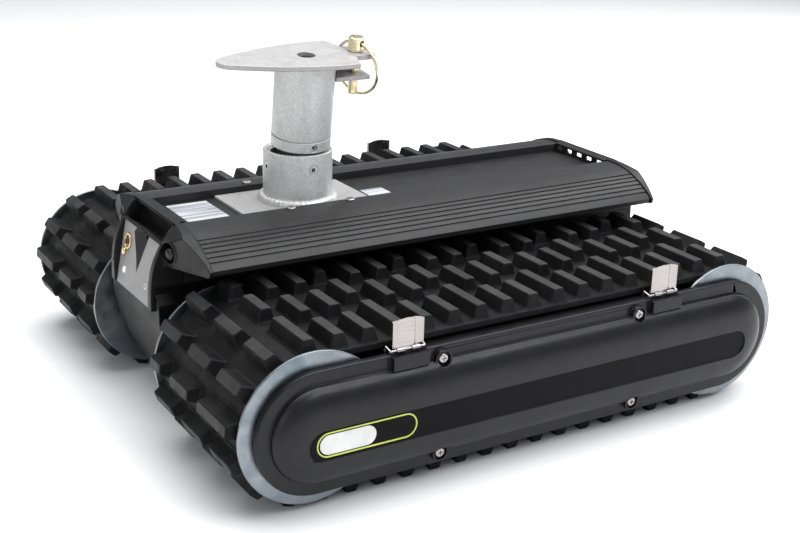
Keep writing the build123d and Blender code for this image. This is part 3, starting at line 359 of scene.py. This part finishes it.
def loop_point(along, span, outer_r, axle_z):
    """Place and turn of a point on the belt's outer face, at a length along its neutral line."""
    half_turn = math.pi * NEUTRAL_R
    along %= 2 * (span + half_turn)
    if along <= span:
        return along - span / 2, axle_z + outer_r, 0.0
    if along < span + half_turn:
        turn = (along - span) / NEUTRAL_R
        return span / 2 + outer_r * math.sin(turn), axle_z + outer_r * math.cos(turn), turn
    if along <= 2 * span + half_turn:
        return 1.5 * span + half_turn - along, axle_z - outer_r, math.pi
    turn = math.pi + (along - 2 * span - half_turn) / NEUTRAL_R
    return -span / 2 + outer_r * math.sin(turn), axle_z + outer_r * math.cos(turn), turn


def add_lug(bm, x, z, turn, y0, y1):
    """One tapered block standing on the belt at (x, z), turned about Y."""
    rings = []
    for half, inset, height in LUG_RINGS:
        low, high, cut = y0 + inset * MM, y1 - inset * MM, LUG_CORNER * MM
        half *= MM
        outline = (
            (-half, low + cut), (-half + cut, low), (half - cut, low), (half, low + cut),
            (half, high - cut), (half - cut, high), (-half + cut, high), (-half, high - cut),
        )
        ring = []
        for u, y in outline:
            h = height * MM
            ring.append(bm.verts.new((
                x + u * math.cos(turn) + h * math.sin(turn), y, z - u * math.sin(turn) + h * math.cos(turn)
            )))
        rings.append(ring)
    for a, b in zip(rings, rings[1:]):
        for i in range(8):
            bm.faces.new((a[i], a[(i + 1) % 8], b[(i + 1) % 8], b[i]))
    top = bm.faces.new(rings[-1])
    # lug tops take the second, lighter rubber: wear plus a painted sheen
    top.material_index = 1


def make_track(side, sign):
    """Moulded belt: carcass with rounded edges, and three tapered lugs in each of its rows."""
    node = f"belt_{side}"
    low, high = corners(node)
    joints = {j["name"]: j["pos_m"] for j in RECORD["behaviour"]["joints"] if "pos_m" in j}
    rear, front = joints[f"drum_rear_{side}_spin"], joints[f"drum_front_{side}_spin"]
    span, axle_z = rear[0] - front[0], rear[2]
    outer_r = high.z - axle_z - LUG_H
    length = 2 * (span + math.pi * NEUTRAL_R)
    y_in, y_out = min(abs(low.y), abs(high.y)), max(abs(low.y), abs(high.y))
    bm = bmesh.new()
    edge = 1.6 * MM
    section = (
        (y_in, -CARCASS), (y_in, -edge), (y_in + edge, 0), ((y_in + y_out) / 2, 0),
        (y_out - edge, 0), (y_out, -edge), (y_out, -CARCASS),
    )
    steps, loops = 6 * ROWS, []
    for i in range(steps):
        x, z, turn = loop_point(length * i / steps, span, outer_r, axle_z)
        loops.append([
            bm.verts.new((x + h * math.sin(turn), sign * y, z + h * math.cos(turn))) for y, h in section
        ])
    for i in range(steps):
        a, b = loops[i], loops[(i + 1) % steps]
        for k in range(len(section)):
            n = (k + 1) % len(section)
            bm.faces.new((a[k], a[n], b[n], b[k]))
    for i in range(ROWS):
        x, z, turn = loop_point(length * i / ROWS, span, outer_r, axle_z)
        for y0, y1 in SHORT_ROW if i % 3 else LONG_ROW:
            ends = sorted((sign * y0 * MM, sign * y1 * MM))
            add_lug(bm, x, z, turn, *ends)
    bmesh.ops.recalc_face_normals(bm, faces=bm.faces)
    smooth_shaded(bm, 20)
    piece = place_piece(f"track_{side}", bm, node, replaced=[node])
    # second slot: the lighter lug-top rubber, wear plus painted sheen
    piece.data.materials.append(MATERIALS["rubber_wear_and_sheen"])
    round_edges(piece, 0.45 * MM, 2, 22)


# ---------------------------------------------------------------- latch tabs
# bent line of the tab's sheet seen from above: along the cover, outward
TAB_LINE = (
    (-16.0, 3.2), (-15.7, 1.4), (-15.0, 0.3), (-13.4, 0.0), (-11.8, 0.3), (-10.6, 1.1), (-9.0, 1.3),
    (-2.0, 1.3), (5.0, 1.3), (6.4, 1.0), (7.4, 0.2), (8.6, 0.0), (12.0, 0.5), (15.0, 1.2), (16.0, 2.0),
)
TAB_ROWS, TAB_SHEET, TAB_CROWN = 10, 0.9 * MM, 2.6 * MM
BARREL_R = 2.3 * MM


def tube_along_x(bm, x0, x1, y, z, r, sides=20):
    rings = []
    for x in (x0, x1):
        turns = [2 * math.pi * i / sides for i in range(sides)]
        rings.append([bm.verts.new((x, y + r * math.cos(t), z + r * math.sin(t))) for t in turns])
    for i in range(sides):
        n = (i + 1) % sides
        bm.faces.new((rings[0][i], rings[0][n], rings[1][n], rings[1][i]))
    bm.faces.new(rings[0])
    bm.faces.new(rings[1])


def make_latch(end, side, sign):
    """Bent sheet tab with a crowned top edge, on two rolled knuckles."""
    node = f"latch_{end}_{side}"
    low, high = corners(node)
    joint = next(j for j in RECORD["behaviour"]["joints"] if j["name"] == f"{node}_fold")
    centre, hinge_y, hinge_z = (low.x + high.x) / 2, joint["pos_m"][1], joint["pos_m"][2]
    back_y = hinge_y - sign * 2.2 * MM
    bm = bmesh.new()
    grid = []
    for u, out in TAB_LINE:
        top = high.z - TAB_CROWN * (u / 16) ** 2
        foot = hinge_z + (1.0 * MM if abs(u) < 12 else 3.0 * MM)
        grid.append([
            bm.verts.new((centre + u * MM, back_y + sign * out * MM, foot + (top - foot) * k / TAB_ROWS))
            for k in range(TAB_ROWS + 1)
        ])
    for a, b in zip(grid, grid[1:]):
        for k in range(TAB_ROWS):
            bm.faces.new((a[k], b[k], b[k + 1], a[k + 1]))
    sheet = bm.faces[:]
    bmesh.ops.recalc_face_normals(bm, faces=sheet)
    bmesh.ops.solidify(bm, geom=sheet, thickness=TAB_SHEET)
    for x0, x1 in ((-11.5, -3.5), (3.5, 11.5)):
        tube_along_x(bm, centre + x0 * MM, centre + x1 * MM, hinge_y, hinge_z, BARREL_R)
    bmesh.ops.recalc_face_normals(bm, faces=bm.faces)
    smooth_shaded(bm, 32)
    piece = place_piece(f"tab_{end}_{side}", bm, node, replaced=[node])
    round_edges(piece, 0.2 * MM, 2, 32)


# ---------------------------------------------------------------- weld bead
BEAD_STEPS, BEAD_RIPPLES = 176, 44


def make_weld():
    """Hand-laid bead round the foot of the socket, with a ripple for each pass of the torch."""
    low, high = corners("weld_bead")
    centre, height = (low + high) / 2, high.z - low.z
    socket_low, socket_high = corners("socket_tube")
    inner, outer = (socket_high.x - socket_low.x) / 2 - 0.4 * MM, (high.x - low.x) / 2
    bm = bmesh.new()
    rings = []
    for i in range(BEAD_STEPS):
        angle = 2 * math.pi * i / BEAD_STEPS
        phase = (i * BEAD_RIPPLES / BEAD_STEPS) % 1
        swell = 0.93 + 0.07 * math.sin(math.pi * phase) + 0.02 * math.sin(5 * angle + 1)
        ring = []
        for k in range(8):
            turn = math.radians(90 * k / 7)
            r = inner + (outer - inner) * swell * math.cos(turn) ** 0.8
            z = low.z + height * swell * math.sin(turn) ** 0.8
            ring.append(bm.verts.new((centre.x + r * math.cos(angle), centre.y + r * math.sin(angle), z)))
        rings.append(ring)
    for i in range(BEAD_STEPS):
        a, b = rings[i], rings[(i + 1) % BEAD_STEPS]
        for k in range(7):
            bm.faces.new((a[k], b[k], b[k + 1], a[k + 1]))
    bmesh.ops.recalc_face_normals(bm, faces=bm.faces)
    smooth_shaded(bm, 60)
    place_piece("bead", bm, "weld_bead", replaced=["weld_bead"])


# ---------------------------------------------------------------- badge
def make_badge():
    """The CAD outline and capsule, the capsule in white film and the outline in green."""
    piece = refined("badges", 0.15 * MM)
    piece.data.materials.append(MATERIALS["badge_white"])
    low, high = corners("badges")
    middle, reach = (low.z + high.z) / 2, (high.z - low.z) / 2 - 2.0 * MM
    for face in piece.data.polygons:
        inner = low.x + 2.0 * MM < face.center.x < low.x + 58 * MM
        if inner and all(abs(piece.data.vertices[v].co.z - middle) < reach for v in face.vertices):
            face.material_index = 1


# ---------------------------------------------------------------- covers
STRIP_STEP = 1.5 * MM  # how deep the strip lies in the cover's face


def make_cover(side):
    """The CAD cover, with the sunk strip along its middle in a flatter black."""
    node = f"cover_{side}"
    piece = refined(node, 0.6 * MM)
    piece.data.materials.append(MATERIALS["strip_black"])
    low, high = corners(node)
    strip_y = max(abs(low.y), abs(high.y)) - STRIP_STEP
    for face in piece.data.polygons:
        if abs(abs(face.center.y) - strip_y) < 0.1 * MM and abs(face.normal.y) > 0.99:
            face.material_index = 1


# ---------------------------------------------------------------- pieces made from the CAD's own faces
EDGE_WIDTHS = {
    "deck": 0.35, "end_cap_front": 0.9, "end_cap_rear": 0.9,
    "panel_front": 0.3, "panel_rear": 0.3, "belly_pan": 0.5, "hitch_plate": 0.8, "pin_bracket": 0.7,
    "base_plate": 0.6, "socket_tube": 0.5, "post_tube": 0.4, "swivel_collar": 0.5, "cover_screws": 0.15,
    "base_screws": 0.15, "set_screws": 0.2, "cap_plugs": 0.3, "lock_pin": 0.4, "socket_ring": 0.35,
    "socket_catch": 0.3, "panel_screws": 0.1, "discs_front_near": 0.3, "discs_rear_near": 0.3,
    "discs_front_far": 0.3, "discs_rear_far": 0.3,
}
FINISH_OF = {node: "galvanised_flat" for node in ("hitch_plate", "pin_bracket", "base_plate")}


def make_pieces():
    for side, sign in (("near", -1), ("far", 1)):
        make_track(side, sign)
        make_cover(side)
        for end in ("front", "rear"):
            make_latch(end, side, sign)
    make_weld()
    make_badge()
    for node, width in EDGE_WIDTHS.items():
        refined(node, width * MM, FINISH_OF.get(node))


dress_cad()
make_pieces()


# ---------------------------------------------------------------- stage, lights, camera
def make_stage():
    """Pale floor that curves up behind the machine into a backdrop."""
    width, front, back, rise, radius = 12.0, -6.0, 5.0, 6.0, 1.5
    profile = [(front, 0.0)]
    for i in range(17):
        turn = math.radians(90 * i / 16)
        profile.append((back + radius * math.sin(turn), radius * (1 - math.cos(turn))))
    profile.append((back + radius, rise))
    mesh = bpy.data.meshes.new("stage")
    verts = [(x, y, z) for y, z in profile for x in (-width, width)]
    faces = [(2 * i, 2 * i + 1, 2 * i + 3, 2 * i + 2) for i in range(len(profile) - 1)]
    mesh.from_pydata(verts, [], faces)
    mesh.shade_smooth()
    stage = bpy.data.objects.new("stage", mesh)
    bpy.context.scene.collection.objects.link(stage)
    s = Shader("stage_paper", (0.86, 0.86, 0.86), rough=0.9, specular=0.1)
    s.colour(s.mix(s.ramp(s.noise(0.8, 2), 0.3, 0.7), (0.85, 0.85, 0.85), (0.87, 0.87, 0.87)))
    mesh.materials.append(s.material)
    return stage


def area_light(name, place, target, size, power, colour=(1, 1, 1)):
    data = bpy.data.lights.new(name, "AREA")
    data.shape = "RECTANGLE"
    data.size, data.size_y = size
    data.energy = power
    data.color = colour
    light = bpy.data.objects.new(name, data)
    light.location = place
    light.rotation_mode = "QUATERNION"
    light.rotation_quaternion = (Vector(target) - Vector(place)).to_track_quat("-Z", "Y")
    bpy.context.scene.collection.objects.link(light)


def make_lights():
    centre = (0, 0, 0.12)
    area_light("overhead", (0.2, 0.2, 2.4), centre, (3.2, 2.8), 108)
    area_light("front_top", (1.0, -1.7, 2.0), centre, (2.2, 0.9), 34, (0.92, 0.93, 1.0))
    area_light("left_fill", (-2.6, -1.6, 1.2), centre, (1.6, 1.6), 13, (0.96, 0.97, 1.0))
    area_light("right_rim", (2.4, 0.6, 1.3), centre, (1.0, 2.0), 26)
    world = bpy.data.worlds.new("studio")
    bpy.context.scene.world = world
    world.use_nodes = True
    world.node_tree.nodes["Background"].inputs[0].default_value = (0.95, 0.97, 1.0, 1.0)
    world.node_tree.nodes["Background"].inputs[1].default_value = 0.4


def make_camera():
    """Camera from the front left, low over the near track."""
    azimuth, elevation, roll = map(math.radians, (-31.879, 19.554, 1.586))
    target, distance = Vector((0.03475, 0.03366, 0.08302)), 1.4811
    back = Vector((
        math.sin(azimuth) * math.cos(elevation),
        -math.cos(azimuth) * math.cos(elevation),
        math.sin(elevation),
    ))
    right = Vector((math.cos(azimuth), math.sin(azimuth), 0))
    up = back.cross(right)
    x_axis = math.cos(roll) * right + math.sin(roll) * up
    y_axis = -math.sin(roll) * right + math.cos(roll) * up
    data = bpy.data.cameras.new("camera")
    data.lens, data.sensor_width = 59.573, 36.0
    data.clip_start, data.clip_end = 0.05, 60
    camera = bpy.data.objects.new("camera", data)
    camera.matrix_world = Matrix.Translation(target + back * distance) @ Matrix(
        (x_axis, y_axis, back)
    ).transposed().to_4x4()
    bpy.context.scene.collection.objects.link(camera)
    bpy.context.scene.camera = camera


make_stage()
make_lights()
make_camera()
bpy.context.scene.view_settings.view_transform = "Standard"
